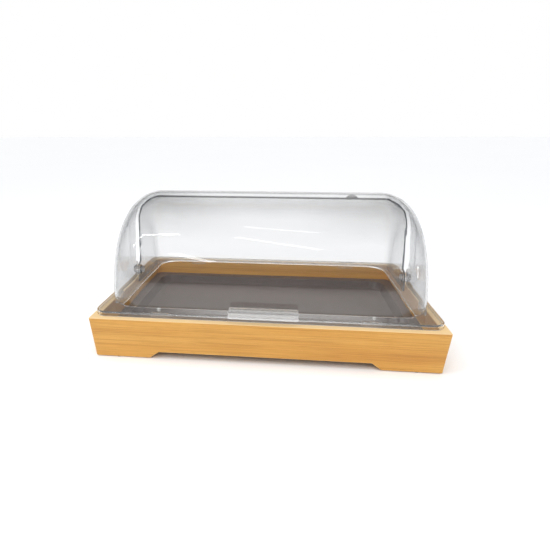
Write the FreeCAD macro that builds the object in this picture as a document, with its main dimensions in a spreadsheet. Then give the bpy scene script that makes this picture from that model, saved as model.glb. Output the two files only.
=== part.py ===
import FreeCAD, Part
import math
import os
import Sketcher

Vector = FreeCAD.Vector
Rotation = FreeCAD.Rotation
ALONG_X = Vector(1, 0, 0)
ALONG_Y = Vector(0, 1, 0)
ALONG_Z = Vector(0, 0, 1)

# Sizes in millimetres and degrees. X runs along the bin, Y to its back and Z up.

# Wooden box.
box_length = 560.0
box_depth = 356.0
box_top = 68.0
pad_thickness = 1.5
pad_radius = 5.5
pad_from_corner = 38.0
board_thickness = 14.0
board_taper = 6.5
corner_radius = 4.0
edge_radius = 1.2
foot_length = 91.0
foot_slope = 15.5
foot_height = 11.0
ledge_below_top = 30.0
ledge_height = 14.0
ledge_width = 14.0
ledge_end_gap = 4.5
screw_radius = 2.0
screw_head_radius = 4.0
screw_head_height = 2.2
screw_bite = 8.0
dowel_radius = 2.0
dowel_length = 14.0
dowel_inset = 9.5
low_dowel_height = 24.0
high_dowel_height = 54.0
long_screw_spacing = 200.0
short_screw_spacing = 160.0

# Serving tray.
tray_clearance = 1.6
tray_sheet = 1.5
tray_rim = 17.0
tray_draft = 8.0
tray_drop = 14.0
tray_corner = 26.0
tray_rim_corner = 14.0

# Cover: the frame that lies on the box, and the two shells of the roll-top.
frame_from_ends = 4.0
frame_from_sides = 11.0
frame_height = 8.0
frame_corner = 22.0
frame_sheet = 3.0
frame_edge = 2.0
mouth_inside_ends = 11.0
mouth_inside_back = 5.5
mouth_rear_corner = 38.0
mouth_front_corner = 14.0
lug_length = 30.0
lug_thickness = 3.0
lug_drop = 11.0
lug_clearance = 2.0
lug_spacing_long = 330.0
lug_spacing_short = 170.0
pivot_above_box = 28.5
shell_sheet = 3.0
shell_end_gap = 9.0
shell_round_gap = 6.5
rear_from_frame_ends = 26.0
rear_from_frame_back = 21.5
rear_corner = 45.0
rear_ear = 16.0
front_corner = 60.0
front_overlap_angle = 4.0
front_edge_lift = 4.0

# Pivots.
pin_radius = 3.0
pin_clearance = 0.08
pin_head_radius = 7.0
pin_head_height = 3.0
side_clearance = 0.25
spacer_radius = 9.0
nut_radius = 6.0
nut_height = 5.0
pin_tip = 1.2

# Pull, stops and bumper.
pull_length = 108.0
pull_sheet = 2.4
pull_reach = 22.0
pull_above_edge = 7.5
pull_lip = 10.5
pull_root = 4.6
pull_round = 2.0
stop_radius = 3.0
stop_spacing = 340.0
bumper_from_middle = 150.0
bumper_width = 20.0
bumper_height = 5.3
bumper_start_angle = 1.2
bumper_angle = 4.0

# Cuts run this far past what they cut.
cut_margin = 5.0

doc = FreeCAD.newDocument("BreadBin")
sheet = doc.addObject("Spreadsheet::Sheet", "Dimensions")


class Size:
    """A dimension: its present value and the spreadsheet formula that drives it."""

    def __init__(self, value, text):
        self.value = value
        self.text = text

    def joined(self, sign, other, value):
        return Size(value, f"({self.text} {sign} {as_size(other).text})")

    def __add__(self, other):
        return self.joined("+", other, self.value + as_size(other).value)

    def __sub__(self, other):
        return self.joined("-", other, self.value - as_size(other).value)

    def __mul__(self, other):
        return self.joined("*", other, self.value * as_size(other).value)

    def __truediv__(self, other):
        return self.joined("/", other, self.value / as_size(other).value)

    def __neg__(self):
        return Size(-self.value, f"(-{self.text})")


def as_size(number):
    if isinstance(number, Size):
        return number
    return Size(number, repr(number))


def root(size):
    return Size(math.sqrt(size.value), f"sqrt({size.text})")


# Every size above goes to the spreadsheet under its own name, and is a Size from here on.
given_sizes = {name: value for name, value in globals().items() if isinstance(value, float)}
for row, (name, value) in enumerate(given_sizes.items(), 1):
    sheet.set(f"A{row}", name)
    sheet.set(f"B{row}", str(value))
    sheet.setAlias(f"B{row}", name)
    globals()[name] = Size(value, f"Dimensions.{name}")
doc.recompute()


def drive(thing, path, size):
    thing.setExpression(path, size.text)


def place(thing, x=0.0, y=0.0, z=0.0, rotation=Rotation()):
    """Put a finished piece where it belongs in the bin's own frame."""
    spot = (as_size(x), as_size(y), as_size(z))
    thing.Placement = FreeCAD.Placement(Vector(*(size.value for size in spot)), rotation)
    for letter, size in zip("xyz", spot):
        drive(thing, f"Placement.Base.{letter}", size)


def new_body(name):
    body = doc.addObject("PartDesign::Body", name)
    body.Label = name
    return body


def new_sketch(body, name, role, x=0.0, offset=0.0, axis=ALONG_X, tilt=0.0):
    """A sketch on one of the body's own planes, set off from it and turned about one of its own axes."""
    sketch = body.newObject("Sketcher::SketchObject", name)
    support = next(plane for plane in body.Origin.OriginFeatures if plane.Role == role)
    sketch.AttachmentSupport = [(support, "")]
    sketch.MapMode = "FlatFace"
    x = as_size(x)
    offset = as_size(offset)
    tilt = as_size(tilt)
    shift = Vector(x.value, 0, offset.value)
    sketch.AttachmentOffset = FreeCAD.Placement(shift, Rotation(axis, tilt.value))
    drive(sketch, "AttachmentOffset.Base.x", x)
    drive(sketch, "AttachmentOffset.Base.z", offset)
    return sketch


def hold(sketch, axis, element, point, size):
    """Fix one coordinate of a sketch point to a driven size."""
    if size.value == 0:
        sketch.addConstraint(Sketcher.Constraint("PointOnObject", element, point, -2 if axis == "X" else -1))
        return
    ends = (-1, 1, element, point) if size.value > 0 else (element, point, -1, 1)
    index = sketch.addConstraint(Sketcher.Constraint(f"Distance{axis}", *ends, abs(size.value)))
    drive(sketch, f"Constraints[{index}]", size if size.value > 0 else -size)


def outline(sketch, start, steps):
    """Draw a closed outline of lines (x, y) and arcs (x, y, centre x, centre y). It ends with a line."""
    steps = [tuple(as_size(number) for number in step) for step in steps]
    start = tuple(as_size(number) for number in start)
    here = start
    first = None
    last = None
    for step in steps + [start]:
        begin = Vector(here[0].value, here[1].value, 0)
        end = Vector(step[0].value, step[1].value, 0)
        if len(step) == 4:
            centre = Vector(step[2].value, step[3].value, 0)
            first_angle = math.atan2(begin.y - centre.y, begin.x - centre.x)
            last_angle = math.atan2(end.y - centre.y, end.x - centre.x)
            turns_left = math.sin(last_angle - first_angle) > 0
            angles = (first_angle, last_angle) if turns_left else (last_angle, first_angle)
            circle = Part.Circle(centre, ALONG_Z, (begin - centre).Length)
            element = sketch.addGeometry(Part.ArcOfCircle(circle, *angles))
            near, far = (1, 2) if turns_left else (2, 1)
            hold(sketch, "X", element, 3, step[2])
            hold(sketch, "Y", element, 3, step[3])
        else:
            element = sketch.addGeometry(Part.LineSegment(begin, end))
            near, far = 1, 2
        if first is None:
            first = (element, near)
            hold(sketch, "X", element, near, here[0])
            hold(sketch, "Y", element, near, here[1])
        else:
            sketch.addConstraint(Sketcher.Constraint("Coincident", *last, element, near))
        last = (element, far)
        if step is start:
            sketch.addConstraint(Sketcher.Constraint("Coincident", *last, *first))
        elif len(step) == 4:
            sideways = abs(end.x - centre.x) > abs(end.y - centre.y)
            hold(sketch, "Y" if sideways else "X", element, far, step[1 if sideways else 0])
        else:
            hold(sketch, "X", element, far, step[0])
            hold(sketch, "Y", element, far, step[1])
        here = step


def round_box(sketch, half_x, half_y, rear_corner_radius, front_corner_radius=None):
    """A rectangle about the middle with rounded corners. The front ones may have a radius of their own."""
    if front_corner_radius is None:
        front_corner_radius = rear_corner_radius
    rear_x = half_x - rear_corner_radius
    rear_y = half_y - rear_corner_radius
    front_x = half_x - front_corner_radius
    front_y = half_y - front_corner_radius
    outline(
        sketch,
        (as_size(0), -half_y),
        [
            (front_x, -half_y),
            (half_x, -front_y, front_x, -front_y),
            (half_x, rear_y),
            (rear_x, half_y, rear_x, rear_y),
            (-rear_x, half_y),
            (-half_x, rear_y, -rear_x, rear_y),
            (-half_x, -front_y),
            (-front_x, -half_y, -front_x, -front_y),
        ],
    )


def box(sketch, low_x, low_y, high_x, high_y):
    outline(sketch, (low_x, low_y), [(high_x, low_y), (high_x, high_y), (low_x, high_y)])


def disc(sketch, x, y, radius):
    x = as_size(x)
    y = as_size(y)
    element = sketch.addGeometry(Part.Circle(Vector(x.value, y.value, 0), ALONG_Z, radius.value))
    hold(sketch, "X", element, 3, x)
    hold(sketch, "Y", element, 3, y)
    index = sketch.addConstraint(Sketcher.Constraint("Radius", element, radius.value))
    drive(sketch, f"Constraints[{index}]", radius)


def feature_of(body, kind, sketch, suffix):
    feature = body.newObject(f"PartDesign::{kind}", sketch.Name + suffix)
    feature.Profile = sketch
    sketch.Visibility = False
    return feature


def pad(body, sketch, length, symmetric=False, downward=False):
    feature = feature_of(body, "Pad", sketch, "Pad")
    drive(feature, "Length", length)
    if symmetric:
        feature.SideType = "Symmetric"
    feature.Reversed = downward
    doc.recompute()
    return feature


def pocket_all(body, sketch):
    feature = feature_of(body, "Pocket", sketch, "Pocket")
    feature.Type = "ThroughAll"
    feature.SideType = "Symmetric"
    doc.recompute()
    return feature


def pocket_middle(body, sketch, length):
    feature = feature_of(body, "Pocket", sketch, "Pocket")
    drive(feature, "Length", length)
    feature.SideType = "Symmetric"
    doc.recompute()
    return feature


def pocket(body, sketch, length, along_normal=False):
    feature = feature_of(body, "Pocket", sketch, "Pocket")
    drive(feature, "Length", length)
    feature.Reversed = along_normal
    doc.recompute()
    return feature


def revolve(body, sketch, angle, backward=False):
    feature = feature_of(body, "Revolution", sketch, "Turn")
    feature.ReferenceAxis = (sketch, ["H_Axis"])
    feature.Angle = angle.value
    drive(feature, "Angle", angle)
    feature.Reversed = backward
    doc.recompute()
    return feature


def loft(body, kind, lower, upper):
    feature = body.newObject(f"PartDesign::{kind}Loft", lower.Name + "Loft")
    feature.Profile = lower
    feature.Sections = [upper]
    feature.Ruled = True
    doc.recompute()
    return feature


def soften(body, radius, wanted):
    """Round the edges for which wanted(edge) holds."""
    tip = body.Tip
    names = [f"Edge{number}" for number, edge in enumerate(tip.Shape.Edges, 1) if wanted(edge)]
    feature = body.newObject("PartDesign::Fillet", tip.Name + "Fillet")
    feature.Base = (tip, names)
    drive(feature, "Radius", radius)
    doc.recompute()
    return feature


def all_at(edge, height):
    return all(abs(vertex.Z - height) < 1e-4 for vertex in edge.Vertexes)


half_length = box_length / 2
half_depth = box_depth / 2
ledge_top = box_top - ledge_below_top
pivot_height = box_top + pivot_above_box
frame_half_length = half_length - frame_from_ends
frame_half_depth = half_depth - frame_from_sides
frame_top = box_top + frame_height
rear_half_length = frame_half_length - rear_from_frame_ends
rear_radius = frame_half_depth - rear_from_frame_back
front_half_length = rear_half_length + shell_end_gap + shell_sheet
front_radius = rear_radius + shell_round_gap + shell_sheet
front_edge_height = frame_top + front_edge_lift
wood_height = box_top - pad_thickness
lean = board_taper / wood_height
half_turn = as_size(180.0)


no_shift = as_size(0.0)
screw_height = ledge_top - ledge_height / 2
dowel_heights = (low_dowel_height, high_dowel_height)


def dowel_depth(height):
    """How far in from the top's corner a dowel crosses the mitre, along X and along Y."""
    return dowel_inset + lean * (box_top - height)


def inner_reach(reach, height):
    """How far from the middle a board's inner face is, at a height above the counter."""
    return reach - board_thickness - lean * (box_top - height)


# Boards: each is drawn as the front one, lying along X, and turned to its place.
def make_board(name, half_span, reach, screws, turn):
    body = new_body(name)
    face = new_sketch(body, name + "Face", "XZ_Plane")
    gap = half_span - board_taper - foot_length
    outline(
        face,
        (board_taper - half_span, no_shift),
        [
            (-gap, no_shift),
            (foot_slope - gap, foot_height),
            (gap - foot_slope, foot_height),
            (gap, no_shift),
            (half_span - board_taper, no_shift),
            (half_span, wood_height),
            (-half_span, wood_height),
        ],
    )
    pad(body, face, reach + cut_margin)

    # both faces lean outward: cut off what lies in front of the one and behind the other
    lean_cuts = new_sketch(body, name + "LeanCuts", "YZ_Plane")
    low = -cut_margin
    high = wood_height + cut_margin
    foot_face = reach - board_taper - lean * cut_margin
    top_face = reach + lean * cut_margin
    far_face = reach + cut_margin * 2
    outline(lean_cuts, (-far_face, low), [(-foot_face, low), (-top_face, high), (-far_face, high)])
    foot_back = foot_face - board_thickness
    top_back = top_face - board_thickness
    outline(lean_cuts, (-foot_back, low), [(cut_margin, low), (cut_margin, high), (-top_back, high)])
    pocket_all(body, lean_cuts)

    outer_face = reach.value - board_taper.value - 0.01

    def is_arris(edge):
        upright = edge.BoundBox.ZLength > wood_height.value - 0.01
        return upright and all(abs(vertex.Y) > outer_face for vertex in edge.Vertexes)

    def is_top(edge):
        return all_at(edge, wood_height.value) and edge.BoundBox.XLength > half_span.value

    soften(body, corner_radius, is_arris)
    soften(body, edge_radius, is_top)

    # the mitre keeps to the upright plane through the corner, since neighbours lean alike
    mitres = new_sketch(body, name + "Mitres", "XY_Plane")
    depth = board_thickness + board_taper + cut_margin
    for sign in (-1, 1):
        corner_x = (half_span + cut_margin) * sign
        inner_x = (half_span - depth) * sign
        corner = (corner_x, -(reach + cut_margin))
        outline(mitres, corner, [(corner_x, depth - reach), (inner_x, depth - reach)])
    pocket_all(body, mitres)

    for sign in (-1, 1):
        plane = dict(x=half_span * sign, offset=reach, axis=ALONG_Y, tilt=-45.0 * sign)
        holes = new_sketch(body, f"{name}Dowels{'Right' if sign > 0 else 'Left'}", "XZ_Plane", **plane)
        for height in dowel_heights:
            disc(holes, -dowel_depth(height) * math.sqrt(2) * sign, height - pad_thickness, dowel_radius)
        pocket_middle(body, holes, dowel_length)

    start = inner_reach(reach, screw_height - ledge_height)
    holes = new_sketch(body, name + "ScrewHoles", "XZ_Plane", offset=start)
    for x in screws:
        disc(holes, x, screw_height - pad_thickness, screw_radius)
    pocket(body, holes, inner_reach(reach, screw_height) - start + screw_bite, along_normal=True)
    place(body, z=pad_thickness, rotation=Rotation(ALONG_Z, turn))
    return body


def make_ledge(name, half_span, reach, screws, turn):
    body = new_body(name)
    section = new_sketch(body, name + "Section", "YZ_Plane")
    ledge_bottom = ledge_top - ledge_height
    upper_reach = inner_reach(reach, ledge_top)
    lower_reach = inner_reach(reach, ledge_bottom)
    inner = upper_reach - ledge_width
    outline(
        section,
        (-inner, ledge_bottom),
        [(-inner, ledge_top), (-upper_reach, ledge_top), (-lower_reach, ledge_bottom)],
    )
    pad(body, section, half_span * 2, symmetric=True)
    holes = new_sketch(body, name + "ScrewHoles", "XZ_Plane")
    for x in screws:
        disc(holes, x, ledge_top - ledge_height / 2, screw_radius)
    pocket_all(body, holes)
    place(body, rotation=Rotation(ALONG_Z, turn))
    return body


long_screws = (-long_screw_spacing, no_shift, long_screw_spacing)
short_screws = (-short_screw_spacing / 2, short_screw_spacing / 2)
inner_half_length = inner_reach(half_length, ledge_top)
inner_half_depth = inner_reach(half_depth, ledge_top)
long_ledge = inner_half_length - ledge_end_gap
short_ledge = inner_half_depth - ledge_width - side_clearance
sides = (
    ("front", half_length, half_depth, long_screws, long_ledge, 0.0),
    ("right", half_depth, half_length, short_screws, short_ledge, 90.0),
    ("rear", half_length, half_depth, long_screws, long_ledge, 180.0),
    ("left", half_depth, half_length, short_screws, short_ledge, 270.0),
)
parts = []
screw_pieces = []
for side, half_span, reach, screws, ledge_half, turn in sides:
    parts.append(make_board(side + "_board", half_span, reach, screws, turn))
    parts.append(make_ledge(side + "_ledge", ledge_half, reach, screws, turn))
    inner_face = inner_reach(reach, ledge_top) - ledge_width
    # where the front side's X and -Y directions point once turned to this side
    along = Rotation(ALONG_Z, turn).multVec(ALONG_X)
    outward = Rotation(ALONG_Z, turn).multVec(-ALONG_Y)
    for number, spot in enumerate(screws):
        screw = new_body(f"{side}_screw_{number}")
        profile = new_sketch(screw, f"{side}_screw_{number}_profile", "XY_Plane")
        outline(
            profile,
            (-screw_head_height, no_shift),
            [
                (-screw_head_height, screw_head_radius - screw_head_height / 2),
                (no_shift, screw_head_radius),
                (no_shift, screw_radius),
                (inner_reach(reach, screw_height) - inner_face + screw_bite, screw_radius),
                (inner_reach(reach, screw_height) - inner_face + screw_bite, no_shift),
            ],
        )
        revolve(screw, profile, half_turn * 2)
        x = spot * round(along.x) + inner_face * round(outward.x)
        y = spot * round(along.y) + inner_face * round(outward.y)
        place(screw, x, y, screw_height, Rotation(ALONG_X, outward))
        screw_pieces.append(screw)


def group(name, pieces):
    """Loose copies of one small piece, kept together."""
    bundle = doc.addObject("Part::Compound", name)
    bundle.Label = name
    bundle.Links = pieces
    return bundle


def upright_disc(name, radius, height, x, y, z):
    piece = doc.addObject("Part::Cylinder", name)
    drive(piece, "Radius", radius)
    drive(piece, "Height", height)
    place(piece, x, y, z)
    return piece


parts.append(group("ledge_screws", screw_pieces))
dowels = []
for x_sign in (-1, 1):
    for y_sign in (-1, 1):
        across = Vector(x_sign, -y_sign, 0).normalize()
        for height in dowel_heights:
            dowel = doc.addObject("Part::Cylinder", f"dowel_{len(dowels)}")
            drive(dowel, "Radius", dowel_radius)
            drive(dowel, "Height", dowel_length)
            x = (half_length - dowel_depth(height)) * x_sign - dowel_length / 2 * across.x
            y = (half_depth - dowel_depth(height)) * y_sign - dowel_length / 2 * across.y
            place(dowel, x, y, height, Rotation(ALONG_Z, across))
            dowels.append(dowel)
parts.append(group("corner_dowels", dowels))
pad_x = half_length - board_taper - pad_from_corner
pad_y = half_depth - board_taper - board_thickness / 2
foot_pads = []
for x_side, x_sign in (("left", -1), ("right", 1)):
    for y_side, y_sign in (("front", -1), ("rear", 1)):
        name = f"{y_side}_{x_side}_pad"
        foot_pads.append(upright_disc(name, pad_radius, pad_thickness, pad_x * x_sign, pad_y * y_sign, 0.0))
parts.append(group("foot_pads", foot_pads))

# Serving tray: a rim that lies on the ledges, and a shallow basin with sloping walls.
tray = new_body("serving_tray")
rim_sketch = new_sketch(tray, "TrayRim", "XY_Plane", offset=ledge_top)
tray_half_length = inner_half_length - tray_clearance
tray_half_depth = inner_half_depth - tray_clearance
round_box(rim_sketch, tray_half_length, tray_half_depth, tray_rim_corner)
pad(tray, rim_sketch, tray_sheet)
rim_top = ledge_top + tray_sheet
basin_x = tray_half_length - tray_rim
basin_y = tray_half_depth - tray_rim


def basin(kind, skin, top, floor):
    upper = new_sketch(tray, f"Tray{kind}Top", "XY_Plane", offset=top)
    round_box(upper, basin_x - skin, basin_y - skin, tray_corner - skin)
    lower = new_sketch(tray, f"Tray{kind}Floor", "XY_Plane", offset=floor)
    round_box(lower, basin_x - tray_draft - skin, basin_y - tray_draft - skin, tray_corner - skin)
    loft(tray, kind, lower, upper)


basin("Additive", no_shift, rim_top, rim_top - tray_drop - tray_sheet)
basin("Subtractive", tray_sheet, rim_top, rim_top - tray_drop)
parts.append(tray)

# Cover frame: a raised plate with a rim that lies on the box, and lugs that hang inside the box.
frame = new_body("cover_frame")
frame_underside = frame_top - frame_sheet
plate = new_sketch(frame, "FramePlate", "XY_Plane", offset=box_top)
round_box(plate, frame_half_length, frame_half_depth, frame_corner)
pad(frame, plate, frame_height)
soften(frame, frame_edge, lambda edge: all_at(edge, frame_top.value))
hollow = new_sketch(frame, "FrameHollow", "XY_Plane", offset=box_top)
round_box(hollow, frame_half_length - frame_sheet, frame_half_depth - frame_sheet, frame_corner - frame_sheet)
pocket(frame, hollow, frame_height - frame_sheet, along_normal=True)
mouth = new_sketch(frame, "FrameMouth", "XY_Plane", offset=box_top)
mouth_x = rear_half_length - mouth_inside_ends
mouth_y = rear_radius - mouth_inside_back
round_box(mouth, mouth_x, mouth_y, mouth_rear_corner, mouth_front_corner)
pocket_all(frame, mouth)
lugs = new_sketch(frame, "FrameLugs", "XY_Plane", offset=frame_underside)
lug_x = half_length - board_thickness - lug_clearance
lug_y = half_depth - board_thickness - lug_clearance
for sign in (-1, 1):
    for spot in (-1, 1):
        middle = lug_spacing_long / 2 * spot
        edge = sorted((lug_y * sign, (lug_y - lug_thickness) * sign), key=lambda size: size.value)
        box(lugs, middle - lug_length / 2, edge[0], middle + lug_length / 2, edge[1])
        middle = lug_spacing_short / 2 * spot
        edge = sorted((lug_x * sign, (lug_x - lug_thickness) * sign), key=lambda size: size.value)
        box(lugs, edge[0], middle - lug_length / 2, edge[1], middle + lug_length / 2)
pad(frame, lugs, lug_drop, downward=True)
parts.append(frame)


# Shells: both are turned about the pivot line, so the front one rolls back over the rear one.
# Each is drawn about that line and then lifted to it.
def shell_section(sketch, half_width, radius, corner):
    flat = half_width - corner
    bend = radius - corner
    inner_width = half_width - shell_sheet
    inner_radius = radius - shell_sheet
    outline(
        sketch,
        (-inner_width, no_shift),
        [
            (-half_width, no_shift),
            (-half_width, bend),
            (-flat, radius, -flat, bend),
            (flat, radius),
            (half_width, bend, flat, bend),
            (half_width, no_shift),
            (inner_width, no_shift),
            (inner_width, bend),
            (flat, inner_radius, flat, bend),
            (-flat, inner_radius),
            (-inner_width, bend, -flat, bend),
        ],
    )


def make_shell(name, half_width, radius, corner, tilt, angle, backward, depth_below, ear, hole):
    body = new_body(name)
    section = new_sketch(body, name + "Section", "XZ_Plane", axis=-ALONG_X, tilt=tilt)
    shell_section(section, half_width, radius, corner)
    revolve(body, section, angle, backward)
    below = new_sketch(body, name + "Below", "YZ_Plane")
    box(below, -radius * 1.1, -radius * 1.1, radius * 1.1, -depth_below)
    pocket_all(body, below)
    for side, start in (("Left", -half_width), ("Right", half_width - shell_sheet)):
        sketch = new_sketch(body, name + side + "Ear", "YZ_Plane", offset=start)
        ear(sketch)
        pad(body, sketch, shell_sheet)
    holes = new_sketch(body, name + "Holes", "YZ_Plane")
    disc(holes, no_shift, no_shift, hole)
    pocket_all(body, holes)
    place(body, z=pivot_height)
    return body


rear_below = pivot_height - frame_top
front_below = pivot_height - front_edge_height


def rear_ear_shape(sketch):
    outline(
        sketch,
        (no_shift, -rear_below),
        [(no_shift, rear_ear), (-rear_ear, no_shift, no_shift, no_shift), (-rear_ear, -rear_below)],
    )


def front_ear_shape(sketch):
    disc(sketch, no_shift, no_shift, front_below)


parts.append(
    make_shell(
        "rear_shell",
        rear_half_length,
        rear_radius,
        rear_corner,
        no_shift,
        half_turn,
        True,
        rear_below,
        rear_ear_shape,
        pin_radius,
    )
)
parts.append(
    make_shell(
        "front_shell",
        front_half_length,
        front_radius,
        front_corner,
        front_overlap_angle,
        front_overlap_angle + half_turn,
        False,
        front_below,
        front_ear_shape,
        pin_radius + pin_clearance,
    )
)


# Pivot pins, spacers and nuts, drawn for the right end and turned about Z for the left one.
def make_pin(name, turn):
    body = new_body(name)
    sketch = new_sketch(body, name + "Section", "XZ_Plane")
    tip = rear_half_length - shell_sheet - nut_height - pin_tip
    seat = front_half_length + side_clearance
    end = seat + pin_head_height
    outline(
        sketch,
        (tip, no_shift),
        [
            (end, no_shift),
            (end, pin_head_radius - pin_head_height / 2),
            (seat, pin_head_radius),
            (seat, pin_radius),
            (tip, pin_radius),
        ],
    )
    revolve(body, sketch, half_turn * 2)
    place(body, z=pivot_height, rotation=Rotation(ALONG_Z, turn))
    return body


def make_spacer(name, turn):
    body = new_body(name)
    sketch = new_sketch(body, name + "Ring", "YZ_Plane", offset=rear_half_length)
    disc(sketch, no_shift, no_shift, spacer_radius)
    disc(sketch, no_shift, no_shift, pin_radius)
    pad(body, sketch, front_half_length - shell_sheet - side_clearance - rear_half_length)
    place(body, z=pivot_height, rotation=Rotation(ALONG_Z, turn))
    return body


def make_nut(name, turn):
    body = new_body(name)
    start = rear_half_length - shell_sheet - nut_height
    sketch = new_sketch(body, name + "Hexagon", "YZ_Plane", offset=start)
    half_flat = nut_radius * math.sqrt(0.75)
    outline(
        sketch,
        (nut_radius, no_shift),
        [
            (nut_radius / 2, half_flat),
            (-nut_radius / 2, half_flat),
            (-nut_radius, no_shift),
            (-nut_radius / 2, -half_flat),
            (nut_radius / 2, -half_flat),
        ],
    )
    disc(sketch, no_shift, no_shift, pin_radius)
    pad(body, sketch, nut_height)
    place(body, z=pivot_height, rotation=Rotation(ALONG_Z, turn))
    return body


for side, turn in (("left", 180.0), ("right", 0.0)):
    parts.append(make_pin("pivot_pin_" + side, turn))
    parts.append(make_spacer("pivot_spacer_" + side, turn))
    parts.append(make_nut("pivot_nut_" + side, turn))

# Pull: a strip whose root follows the front shell, a top that reaches forward and a lip that hangs down.
pull = new_body("front_pull")
pull_section = new_sketch(pull, "PullSection", "YZ_Plane")
top = front_edge_height + pull_above_edge - pivot_height
root_low = top - pull_sheet - pull_root
shell_at_top = root(front_radius * front_radius - top * top)
shell_at_root = root(front_radius * front_radius - root_low * root_low)
lip_face = front_radius + pull_reach
outline(
    pull_section,
    (-(shell_at_root + pull_sheet), root_low),
    [
        (-shell_at_root, root_low),
        (-shell_at_top, top, no_shift, no_shift),
        (-(lip_face - pull_round), top),
        (-lip_face, top - pull_round, -(lip_face - pull_round), top - pull_round),
        (-lip_face, top - pull_lip),
        (-(lip_face - pull_sheet), top - pull_lip),
        (-(lip_face - pull_sheet), top - pull_sheet),
        (-(shell_at_root + pull_sheet), top - pull_sheet),
    ],
)
pad(pull, pull_section, pull_length, symmetric=True)
place(pull, z=pivot_height)
parts.append(pull)

# Soft stops on the frame, under the front shell's lower edge.
edge_depth = root(front_radius * front_radius - front_below * front_below) - shell_sheet / 2
stops = []
for name, sign in (("left_stop", -1), ("right_stop", 1)):
    x = stop_spacing / 2 * sign
    stops.append(upright_disc(name, stop_radius, front_edge_height - frame_top, x, -edge_depth, frame_top))
parts.append(group("closing_stops", stops))

# Half-moon bumper on top of the rear shell, in the gap between the shells.
bumper = new_body("glide_bumper")
bumper_section = new_sketch(bumper, "BumperSection", "XZ_Plane", axis=-ALONG_X, tilt=bumper_start_angle)
half_bumper = bumper_width / 2
bumper_bow = (half_bumper * half_bumper + bumper_height * bumper_height) / (bumper_height * 2)
bow_centre = rear_radius + bumper_height - bumper_bow
outline(
    bumper_section,
    (bumper_from_middle, rear_radius),
    [
        (bumper_from_middle + half_bumper, rear_radius),
        (bumper_from_middle - half_bumper, rear_radius, bumper_from_middle, bow_centre),
    ],
)
revolve(bumper, bumper_section, bumper_angle, backward=True)
place(bumper, z=pivot_height)
parts.append(bumper)

doc.recompute()

for thing in doc.Objects:
    faults = [state for state in thing.State if state in ("Invalid", "Error")]
    if faults:
        raise RuntimeError(f"{thing.Name} is {faults}")
os.makedirs("parts", exist_ok=True)
for part in parts:
    shape = part.Shape
    if shape.isNull() or not shape.isValid() or shape.Volume <= 0:
        raise RuntimeError(f"{part.Label} has no sound shape")
    shape.exportStep(os.path.join("parts", part.Label + ".step"))
    limits = shape.BoundBox
    print(
        f"{part.Label:20s} {len(shape.Solids)} solids {shape.Volume:12.1f} mm3",
        f"X {limits.XMin:8.2f} {limits.XMax:8.2f} Y {limits.YMin:8.2f} {limits.YMax:8.2f}",
        f"Z {limits.ZMin:8.2f} {limits.ZMax:8.2f}",
    )
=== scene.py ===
import math

import bpy
from mathutils import Matrix, Vector

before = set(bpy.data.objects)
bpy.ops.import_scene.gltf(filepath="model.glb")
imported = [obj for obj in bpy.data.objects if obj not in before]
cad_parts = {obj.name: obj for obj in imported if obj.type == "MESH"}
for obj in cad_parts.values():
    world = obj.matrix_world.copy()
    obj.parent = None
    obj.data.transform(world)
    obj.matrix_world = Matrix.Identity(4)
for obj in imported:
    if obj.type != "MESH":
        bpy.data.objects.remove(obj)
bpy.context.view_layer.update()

MM = 0.001
scene = bpy.context.scene


# --- colours and nodes --------------------------------------------------------------------


def linear(value):
    """The linear strength of an 8-bit screen value."""
    if value > 10:
        return ((value / 255 + 0.055) / 1.055) ** 2.4
    return value / 255 / 12.92


def srgb(red, green, blue):
    return (linear(red), linear(green), linear(blue), 1)


def grey(level):
    return (level, level, level)


def new_material(name):
    material = bpy.data.materials.new(name)
    material.use_nodes = True
    material.node_tree.nodes.clear()
    return material


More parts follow.
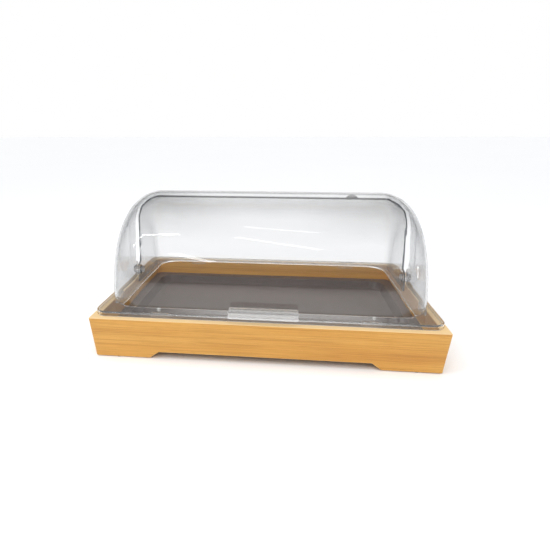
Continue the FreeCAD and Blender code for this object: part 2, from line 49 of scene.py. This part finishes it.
class Nodes:
    """Short calls for building one node tree. Each gives back the socket that holds its result."""

    def __init__(self, tree):
        self.tree = tree

    def add(self, kind, inputs, output, **settings):
        node = self.tree.nodes.new(kind)
        for key, value in settings.items():
            setattr(node, key, value)
        for key, value in inputs.items():
            if isinstance(value, bpy.types.NodeSocket):
                self.tree.links.new(value, node.inputs[key])
            else:
                node.inputs[key].default_value = value
        return node.outputs[output]

    def coordinates(self, kind="Object"):
        return self.add("ShaderNodeTexCoord", {}, kind)

    def part(self, axis, vector):
        return self.add("ShaderNodeSeparateXYZ", {0: vector}, axis)

    def stretched(self, source, scale, turn=0.0):
        inputs = {"Vector": source, "Scale": scale, "Rotation": (0, 0, turn)}
        return self.add("ShaderNodeMapping", inputs, "Vector")

    def noise(self, source, scale, detail, roughness, distortion=0.0):
        inputs = {
            "Vector": source,
            "Scale": scale,
            "Detail": detail,
            "Roughness": roughness,
            "Distortion": distortion,
        }
        return self.add("ShaderNodeTexNoise", inputs, "Fac")

    def ramp(self, source, *stops):
        """Colours for a value, from stops of (value, colour)."""
        result = self.add("ShaderNodeValToRGB", {"Fac": source}, "Color")
        elements = result.node.color_ramp.elements
        while len(elements) < len(stops):
            elements.new(0.5)
        for element, (position, colour) in zip(elements, stops):
            element.position = position
            element.color = colour if len(colour) == 4 else (*colour, 1)
        return result

    def spread(self, source, low, high, to_low=0.0, to_high=1.0):
        """A value between low and high, moved to the same place between to_low and to_high."""
        inputs = {
            "Value": source,
            "From Min": low,
            "From Max": high,
            "To Min": to_low,
            "To Max": to_high,
        }
        return self.add("ShaderNodeMapRange", inputs, "Result")

    def mix(self, factor, first, second, blend="MIX"):
        # 0, 6, 7 and 2 are the factor and the colour sockets of a Mix node
        inputs = {0: factor, 6: first, 7: second}
        return self.add("ShaderNodeMix", inputs, 2, data_type="RGBA", blend_type=blend)

    def mix_shaders(self, factor, first, second):
        return self.add("ShaderNodeMixShader", {0: factor, 1: first, 2: second}, "Shader")

    def sum(self, first, second):
        return self.add("ShaderNodeMath", {0: first, 1: second}, 0, operation="ADD")

    def product(self, first, second):
        return self.add("ShaderNodeMath", {0: first, 1: second}, 0, operation="MULTIPLY")

    def absolute(self, value):
        return self.add("ShaderNodeMath", {0: value}, 0, operation="ABSOLUTE")

    def bump(self, height, strength, distance):
        inputs = {"Height": height, "Strength": strength, "Distance": distance}
        return self.add("ShaderNodeBump", inputs, "Normal")

    def flatness(self, radius):
        """1 on a flat face, and less within the radius of a sharp edge."""
        rounded = self.add("ShaderNodeBevel", {"Radius": radius}, "Normal", samples=6)
        flat = self.add("ShaderNodeNewGeometry", {}, "Normal")
        inputs = {0: rounded, 1: flat}
        return self.add("ShaderNodeVectorMath", inputs, "Value", operation="DOT_PRODUCT")

    def principled(self, inputs):
        return self.add("ShaderNodeBsdfPrincipled", inputs, "BSDF")

    def transparent(self, colour):
        return self.add("ShaderNodeBsdfTransparent", {"Color": colour}, "BSDF")

    def finish(self, shader, kind="ShaderNodeOutputMaterial"):
        out = self.tree.nodes.new(kind)
        self.tree.links.new(shader, out.inputs["Surface"])


# --- wood ---------------------------------------------------------------------------------

# pale, middle and dark wood, as screen colours
OIL_TONES = ((214, 166, 84), (204, 151, 68), (190, 133, 52))
BARE_TONES = ((216, 170, 106), (198, 146, 82), (170, 118, 62))
# tones at values of the patterns that are multiplied into the colour
RING_TONES = ((0.36, (0.80, 0.70, 0.56)), (0.50, (0.97, 0.95, 0.92)), (0.64, (1.05, 1.04, 1.02)))
FIBRE_TONES = ((0.30, (0.83, 0.78, 0.70)), (0.55, grey(1.0)), (0.75, (1.06, 1.05, 1.03)))
PORE_TONES = ((0.28, (0.62, 0.52, 0.40)), (0.37, grey(1.0)))
BLOTCH_TONES = ((0.3, (0.93, 0.90, 0.86)), (0.7, (1.04, 1.03, 1.0)))
# painted highlight colour for the tops of the boards
PAINTED_TOP_HIGHLIGHT = srgb(250, 226, 178)
# arris colour: paler for rubbed wear, and also a painted highlight
RUBBED_AND_HIGHLIT_EDGE = srgb(247, 220, 168)
RUBBED_AND_HIGHLIT_WIDTH = 1.1 * MM
ALONG_X, ALONG_Y = 0, 1


def wood(name, along, tones, rough=0.5):
    """Straight-grained wood. along is the axis of the grain, whose sizes are in metres."""
    material = new_material(name)
    n = Nodes(material.node_tree)
    place = n.coordinates()

    def grain(length, width):
        scale = [1 / width] * 3
        scale[along] = 1 / length
        return n.stretched(place, scale)

    pale, middle, dark = (srgb(*tone) for tone in tones)
    drift = n.noise(grain(0.50, 0.024), 1.0, 2.0, 0.5, 0.4)
    rings = n.noise(grain(0.15, 0.0018), 1.0, 4.0, 0.62, 0.2)
    fibre = n.noise(grain(0.035, 0.0009), 1.0, 4.0, 0.65)
    pores = n.noise(grain(0.011, 0.00045), 1.0, 2.0, 0.5)
    blotch = n.noise(place, 9.0, 3.0, 0.5)

    colour = n.ramp(drift, (0.22, dark), (0.45, middle), (0.75, pale))
    layers = (
        (rings, RING_TONES, 0.85),
        (fibre, FIBRE_TONES, 0.65),
        (pores, PORE_TONES, 0.50),
        (blotch, BLOTCH_TONES, 0.80),
    )
    for pattern, stops, share in layers:
        colour = n.mix(share, colour, n.ramp(pattern, *stops), "MULTIPLY")

    # painted highlight: tops are painted paler, where more light falls on them
    upward = n.part("Z", n.coordinates("Normal"))
    painted_top_light = n.spread(upward, 0.3, 0.9, 0.0, 0.6)
    colour = n.mix(painted_top_light, colour, PAINTED_TOP_HIGHLIGHT)
    # arrises are painted paler, partly for rubbed wear and partly as a painted highlight
    rubbed_and_highlit = n.spread(n.flatness(RUBBED_AND_HIGHLIT_WIDTH), 0.80, 0.985, 0.7, 0.0)
    colour = n.mix(rubbed_and_highlit, colour, RUBBED_AND_HIGHLIT_EDGE)

    pits = n.spread(pores, 0.25, 0.4, -0.8, 0.0)
    shader = n.principled(
        {
            "Base Color": colour,
            "Roughness": n.spread(fibre, 0.25, 0.75, rough + 0.10, rough - 0.08),
            "Normal": n.bump(n.sum(fibre, pits), 0.22, 0.4 * MM),
            "Coat Weight": 0.12,
            "Coat Roughness": 0.32,
        }
    )
    n.finish(shader)
    return material


# --- clear plastic ------------------------------------------------------------------------

# tints from a wall seen square on to one seen edge on, at these slants
SLANTS = (0.30, 0.62, 0.88, 1.0)
SHELL_TINTS = (grey(0.955), (0.70, 0.705, 0.71), (0.87, 0.875, 0.88), (0.86, 0.865, 0.88))
FRAME_TINTS = ((0.99, 0.99, 0.985), (0.97, 0.97, 0.96), (0.93, 0.93, 0.92), grey(0.70))
PULL_TINTS = ((0.97, 0.97, 0.965), (0.62, 0.62, 0.61), grey(0.60), grey(0.50))
FITTING_TINTS = ((0.96, 0.96, 0.965), (0.80, 0.80, 0.81), (0.50, 0.51, 0.52), (0.20, 0.21, 0.22))
PAD_TINTS = ((0.95, 0.95, 0.93), (0.92, 0.92, 0.90), (0.88, 0.88, 0.86), (0.75, 0.75, 0.73))

PLASTIC_IOR = 1.49
CAST_SHADOW = (0.97, 0.975, 0.98, 1)
# painted shade for the upper corners of the rear shell
CORNER_PAINTED_SHADE = (0.79, 0.79, 0.785, 1)
# painted shade for the dark line along the seam
SEAM_PAINTED_SHADE = (0.05, 0.055, 0.07, 1)
# painted shade for end walls seen at a slant
END_WALL_PAINTED_SHADE = (0.42, 0.43, 0.45, 1)
# how much of that painted shade an end wall takes at each slant
END_WALL_SHADE_AMOUNTS = ((0.40, grey(0)), (0.65, grey(0.17)), (0.80, grey(0.27)), (0.93, grey(0.48)))
ARRIS_WIDTH = 1.0 * MM
PULL_LIP_BACK = -174.5 * MM


def painted_shade_of_corners(n, place, strength):
    """How much painted shade a place takes. Only the upper corners take it, standing in for the
    dark room mirrored in their curves.
    """
    outward = n.spread(n.absolute(n.part("X", place)), 60 * MM, 215 * MM, 0.05, 1.0)
    upward = n.spread(n.part("Z", place), 120 * MM, 195 * MM, 0.0, strength)
    return n.product(outward, upward)


def painted_end_wall_shade(n, slant):
    """How much painted shade an end wall takes where it is seen at a slant."""
    sideways = n.absolute(n.part("X", n.coordinates("Normal")))
    return n.product(n.ramp(slant, *END_WALL_SHADE_AMOUNTS), n.spread(sideways, 0.35, 0.75))


def clear_plastic(
    name, tints, rough, arris, milk=0.0, ripple=0.06, frosted_before=None, seam_shade=0.0, upper_corner_shade=0.0
):
    """Moulded clear plastic that bends light, is darker seen edge on and has faint rub marks.

    arris is how white its sharp edges are, and milk how cloudy it is: all over, or only in front
    of the Y frosted_before. seam_shade paints a dark line of shade where Y is 0, and
    upper_corner_shade paints shade on its upper corners."""
    material = new_material(name)
    n = Nodes(material.node_tree)
    place = n.coordinates()

    slant = n.add("ShaderNodeLayerWeight", {"Blend": 0.5}, "Facing")
    tint = n.ramp(slant, *zip(SLANTS, tints))
    # painted shade on the upper corners, for the dark room mirrored there
    if upper_corner_shade:
        tint = n.mix(painted_shade_of_corners(n, place, upper_corner_shade), tint, CORNER_PAINTED_SHADE, "MULTIPLY")
    # painted shade: a dark line where Y is 0, along the seam, for the dim room seen in the cut
    # edge
    if seam_shade:
        painted_seam_line = n.spread(n.absolute(n.part("Y", place)), 0.1 * MM, 0.4 * MM, seam_shade, 0.0)
        tint = n.mix(painted_seam_line, tint, SEAM_PAINTED_SHADE)

    clear_when_flat = 1.0 - milk
    if frosted_before is not None:
        frost_end = frosted_before + 1.0 * MM
        clear_when_flat = n.spread(n.part("Y", place), frosted_before, frost_end, 1.0 - milk, 1.0)
    clearness = n.spread(n.flatness(ARRIS_WIDTH), 0.76, 0.985, 1.0 - arris, clear_when_flat)

    rubs = n.noise(n.stretched(place, (3.0, 40.0, 40.0)), 9.0, 4.0, 0.6, 0.8)
    haze = n.noise(place, 14.0, 3.0, 0.5)
    worn = n.spread(rubs, 0.62, 0.80, 0.0, 0.08)
    waves = n.noise(place, 12.0, 2.0, 0.4)
    glass = n.principled(
        {
            "Base Color": tint,
            "Roughness": n.sum(worn, n.spread(haze, 0.3, 0.8, rough, rough + 0.02)),
            "IOR": PLASTIC_IOR,
            "Transmission Weight": clearness,
            "Normal": n.bump(waves, ripple, 2 * MM),
        }
    )
    # end walls seen at a slant get a dark see-through sheet of painted shade
    wall = n.mix_shaders(painted_end_wall_shade(n, slant), glass, n.transparent(END_WALL_PAINTED_SHADE))
    for_shadow = n.add("ShaderNodeLightPath", {}, "Is Shadow Ray")
    n.finish(n.mix_shaders(for_shadow, wall, n.transparent(CAST_SHADOW)))
    return material


# --- tray, metal and rubber ---------------------------------------------------------------

TRAY_TONES = (srgb(72, 61, 56), srgb(86, 75, 70))
TRAY_SCUFF = srgb(146, 136, 128)
DUST = srgb(118, 112, 104)
PLATING = (0.62, 0.60, 0.55, 1)
PAD_BLACK = srgb(38, 37, 36)
BUMPER_BLACK = srgb(4, 4, 4)
BUMPER_GREY = srgb(48, 48, 50)
BUMPER_SPLIT = (244.7 * MM, 245.0 * MM)


def tray_finish(name):
    """Dark moulded plastic with a fine pebble texture and faint scuffs."""
    material = new_material(name)
    n = Nodes(material.node_tree)
    place = n.coordinates()
    cloud = n.noise(place, 11.0, 4.0, 0.55)
    grit = n.noise(place, 1400.0, 2.0, 0.6)
    scuffs = n.noise(n.stretched(place, (2.0, 30.0, 30.0), 0.5), 22.0, 4.0, 0.6, 1.0)
    colour = n.ramp(cloud, *zip((0.3, 0.7), TRAY_TONES))
    shader = n.principled(
        {
            "Base Color": n.mix(n.spread(scuffs, 0.66, 0.80, 0.0, 0.30), colour, TRAY_SCUFF),
            "Roughness": n.spread(cloud, 0.3, 0.7, 0.36, 0.48),
            "Normal": n.bump(grit, 0.25, 0.2 * MM),
        }
    )
    n.finish(shader)
    return material


def metal(name, tone, rough):
    """Plated metal, a little cloudy and finely uneven."""
    material = new_material(name)
    n = Nodes(material.node_tree)
    place = n.coordinates()
    grain = n.noise(place, 900.0, 3.0, 0.6)
    bloom = n.noise(place, 160.0, 3.0, 0.5)
    dull = tuple(0.7 * v for v in tone[:3]) + (1,)
    shader = n.principled(
        {
            "Base Color": n.mix(n.spread(bloom, 0.45, 0.75, 0.0, 0.5), tone, dull),
            "Roughness": n.spread(grain, 0.3, 0.7, rough, rough + 0.15),
            "Metallic": 1.0,
            "Normal": n.bump(grain, 0.15, 0.1 * MM),
        }
    )
    n.finish(shader)
    return material


def rubber(name, tone, under=None, split=None):
    """Dusty matt rubber. Where it has an under colour, that shows below the heights of split."""
    material = new_material(name)
    n = Nodes(material.node_tree)
    place = n.coordinates()
    grit = n.noise(place, 1100.0, 3.0, 0.6)
    dust = n.noise(place, 90.0, 4.0, 0.6)
    if under:
        tone = n.mix(n.spread(n.part("Z", place), *split), under, tone)
    shader = n.principled(
        {
            "Base Color": n.mix(n.spread(dust, 0.45, 0.8, 0.0, 0.35), tone, DUST),
            "Roughness": n.spread(dust, 0.3, 0.7, 0.55, 0.75),
            "Normal": n.bump(grit, 0.3, 0.2 * MM),
        }
    )
    n.finish(shader)
    return material


# --- what each piece is made of -----------------------------------------------------------

long_wood = wood("oiled_wood_long", ALONG_X, OIL_TONES)
short_wood = wood("oiled_wood_short", ALONG_Y, OIL_TONES)
long_ledge_wood = wood("ledge_wood_long", ALONG_X, BARE_TONES, rough=0.62)
short_ledge_wood = wood("ledge_wood_short", ALONG_Y, BARE_TONES, rough=0.62)
clear_front = clear_plastic("clear_front_shell_plastic", SHELL_TINTS, rough=0.012, arris=0.3)
clear_rear = clear_plastic(
    "clear_rear_shell_plastic", SHELL_TINTS, rough=0.012, arris=0.3, seam_shade=0.95, upper_corner_shade=1.0
)
clear_frame = clear_plastic(
    "clear_frame_plastic", FRAME_TINTS, rough=0.02, arris=0.6, milk=0.03, ripple=0.02
)
clear_pull = clear_plastic(
    "clear_pull_plastic",
    PULL_TINTS,
    rough=0.03,
    arris=0.45,
    milk=0.16,
    ripple=0.02,
    frosted_before=PULL_LIP_BACK,
)
clear_fitting = clear_plastic("clear_fitting_plastic", FITTING_TINTS, rough=0.02, arris=0.7)
soft_clear = clear_plastic("soft_clear_pad", PAD_TINTS, rough=0.18, arris=0.6, milk=0.25)
tray_dark = tray_finish("tray_dark_moulding")
screw_metal = metal("plated_screw_metal", PLATING, rough=0.30)
pad_rubber = rubber("pad_rubber_black", PAD_BLACK)
bumper_rubber = rubber("bumper_rubber_two_tone", BUMPER_BLACK, BUMPER_GREY, BUMPER_SPLIT)

FINISHES = {
    "front_board": long_wood,
    "rear_board": long_wood,
    "left_board": short_wood,
    "right_board": short_wood,
    "front_ledge": long_ledge_wood,
    "rear_ledge": long_ledge_wood,
    "left_ledge": short_ledge_wood,
    "right_ledge": short_ledge_wood,
    "corner_dowels": short_ledge_wood,
    "ledge_screws": screw_metal,
    "foot_pads": pad_rubber,
    "serving_tray": tray_dark,
    "cover_frame": clear_frame,
    "rear_shell": clear_rear,
    "front_shell": clear_front,
    "front_pull": clear_pull,
    "pivot_pin_left": clear_fitting,
    "pivot_pin_right": clear_fitting,
    "pivot_spacer_left": clear_fitting,
    "pivot_spacer_right": clear_fitting,
    "pivot_nut_left": clear_fitting,
    "pivot_nut_right": clear_fitting,
    "glide_bumper": bumper_rubber,
    "closing_stops": soft_clear,
}

for node, finish in FINISHES.items():
    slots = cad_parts[node].data.materials
    slots.clear()
    slots.append(finish)


# --- floor and surroundings ---------------------------------------------------------------

FLOOR_SIZE = 60
FLOOR_MIDDLE = (0, 10, 0)
FLOOR_TONES = ((0.955, 0.965, 0.975), (0.965, 0.975, 0.985))

bpy.ops.mesh.primitive_plane_add(size=FLOOR_SIZE, location=FLOOR_MIDDLE)
floor = bpy.context.object
floor.name = "studio_floor"
floor_paint = new_material("studio_floor_paint")
n = Nodes(floor_paint.node_tree)
tone = n.noise(n.coordinates(), 0.6, 3.0, 0.5)
floor_colour = n.ramp(tone, *zip((0.3, 0.7), FLOOR_TONES))
n.finish(n.principled({"Base Color": floor_colour, "Roughness": 0.8}))
floor.data.materials.append(floor_paint)

# Tones by height over the horizon, 0 level and 1 straight up. The studio is white up to a little
# over the horizon, with a dim ceiling.
STUDIO = ((0.0, grey(1)), (0.28, grey(1)), (0.42, (0.42, 0.42, 0.43)), (1.0, (0.52, 0.52, 0.53)))
# What is glossy mirrors a dimmer room, as it does where a studio hangs dark cloths.
NEAR_SIDE = (
    (0.0, grey(0.55)),
    (0.12, (0.30, 0.30, 0.31)),
    (0.38, (0.52, 0.52, 0.53)),
    (0.80, grey(1)),
)
# The far side has a dark band with a bright window over it.
FAR_SIDE = (
    (0.0, grey(0.90)),
    (0.19, grey(0.85)),
    (0.26, grey(0.40)),
    (0.34, grey(0.55)),
    (0.39, grey(1.1)),
    (0.46, grey(1.1)),
    (0.52, grey(0.8)),
)
CLOTH = (0.08, 0.08, 0.085, 1)

world = bpy.data.worlds.new("studio_light")
scene.world = world
world.use_nodes = True
world.node_tree.nodes.clear()
n = Nodes(world.node_tree)
heading = n.coordinates("Generated")
height = n.part("Z", heading)
behind = n.spread(n.part("Y", heading), 0.1, 0.6)
sideways = n.spread(n.absolute(n.part("X", heading)), 0.16, 0.28, 0.0, 0.85)
cloths = n.product(n.product(sideways, n.spread(height, 0.19, 0.26)), behind)
room = n.mix(behind, n.ramp(height, *NEAR_SIDE), n.ramp(height, *FAR_SIDE))
room = n.mix(cloths, room, CLOTH)
mirrored = n.spread(n.add("ShaderNodeLightPath", {}, "Glossy Depth"), 0.0, 1.0)
surround = n.mix(mirrored, n.ramp(height, *STUDIO), room)
backdrop = n.add("ShaderNodeBackground", {"Color": surround, "Strength": 1.0}, "Background")
n.finish(backdrop, "ShaderNodeOutputWorld")


# --- lamps --------------------------------------------------------------------------------

BOX_MIDDLE = (0, 0, 0.05)
COVER_MIDDLE = (0, 0, 0.15)


def add_lamp(name, kind, location, target, power, shines=False):
    """A lamp that lights matt surfaces. It shows in glossy ones only where it shines."""
    light = bpy.data.lights.new(name, kind)
    light.energy = power
    lamp = bpy.data.objects.new(name, light)
    scene.collection.objects.link(lamp)
    lamp.location = location
    away = Vector(target) - Vector(location)
    lamp.rotation_euler = away.to_track_quat("-Z", "Y").to_euler()
    lamp.visible_camera = False
    lamp.visible_transmission = False
    lamp.visible_glossy = shines
    return light


def make_rectangle(light, width, height):
    light.shape = "RECTANGLE"
    light.size = width
    light.size_y = height


def softbox(name, location, width, height, power):
    light = add_lamp(name, "AREA", location, BOX_MIDDLE, power)
    make_rectangle(light, width, height)


def streak(name, start, end, width, glow):
    """A narrow strip light between two points in mm, which shows as a white streak."""
    start, end = Vector(start) * MM, Vector(end) * MM
    middle = (start + end) / 2
    light = add_lamp(name, "AREA", middle, COVER_MIDDLE, 1.0, shines=True)
    make_rectangle(light, (end - start).length, width * MM)
    light.energy = glow * math.pi * light.size * light.size_y
    back = (middle - Vector(COVER_MIDDLE)).normalized()
    along = (end - start).normalized()
    along = (along - back * along.dot(back)).normalized()
    turn = Matrix((along, back.cross(along), back)).transposed()
    bpy.data.objects[name].matrix_world = Matrix.Translation(middle) @ turn.to_4x4()


overhead = add_lamp("overhead_light", "SUN", (-0.3, -0.5, 2.0), (0, 0, 0), 1.62)
overhead.angle = math.radians(75)
softbox("key_light", (0.05, -1.5, 1.2), 1.4, 0.7, 5.3)
softbox("left_fill", (-1.5, 0.2, 0.75), 1.0, 0.6, 1.2)
softbox("right_fill", (1.5, 0.2, 0.75), 1.0, 0.6, 1.0)
streak("streak_middle", (-222, -809, 1634), (214, -1171, 1395), 45, 4.5)
streak("streak_high", (-175, -380, 1776), (214, -578, 1722), 40, 4.0)
streak("streak_left", (-507, -727, 1636), (-1319, -836, 1088), 60, 14.0)
streak("streak_low", (-552, -1321, 1161), (-337, -1519, 941), 60, 9.0)
streak("streak_right", (1819, -262, 460), (1818, -394, 200), 120, 6.0)


# --- camera -------------------------------------------------------------------------------

# fitted to the photo: place in metres, turns in radians, focal length and middle in pixels
IMAGE_WIDTH = 550.0
EYE = Vector((0.03105, -0.81189, 0.35672))
YAW, PITCH, ROLL = -0.1125, 0.2206, -0.0023
FOCAL = 444.59
CENTRE_X, CENTRE_Y = 236.06, 232.83
SENSOR_WIDTH = 36

camera_data = bpy.data.cameras.new("photo_camera")
camera_data.sensor_width = SENSOR_WIDTH
camera_data.lens = SENSOR_WIDTH * FOCAL / IMAGE_WIDTH
camera_data.shift_x = (IMAGE_WIDTH / 2 - CENTRE_X) / IMAGE_WIDTH
camera_data.shift_y = (CENTRE_Y - IMAGE_WIDTH / 2) / IMAGE_WIDTH
camera_data.clip_end = 200
camera = bpy.data.objects.new("photo_camera", camera_data)
scene.collection.objects.link(camera)
level = math.cos(PITCH)
ahead = Vector((math.sin(YAW) * level, math.cos(YAW) * level, -math.sin(PITCH)))
right = Vector((math.cos(YAW), -math.sin(YAW), 0))
up = right.cross(ahead)
right_rolled = right * math.cos(ROLL) + up * math.sin(ROLL)
up_rolled = up * math.cos(ROLL) - right * math.sin(ROLL)
axes = Matrix((right_rolled, up_rolled, -ahead)).transposed()
camera.matrix_world = Matrix.Translation(EYE) @ axes.to_4x4()
scene.camera = camera

scene.view_settings.view_transform = "Standard"
scene.cycles.max_bounces = 24
scene.cycles.transmission_bounces = 20
scene.cycles.transparent_max_bounces = 24
scene.cycles.glossy_bounces = 6
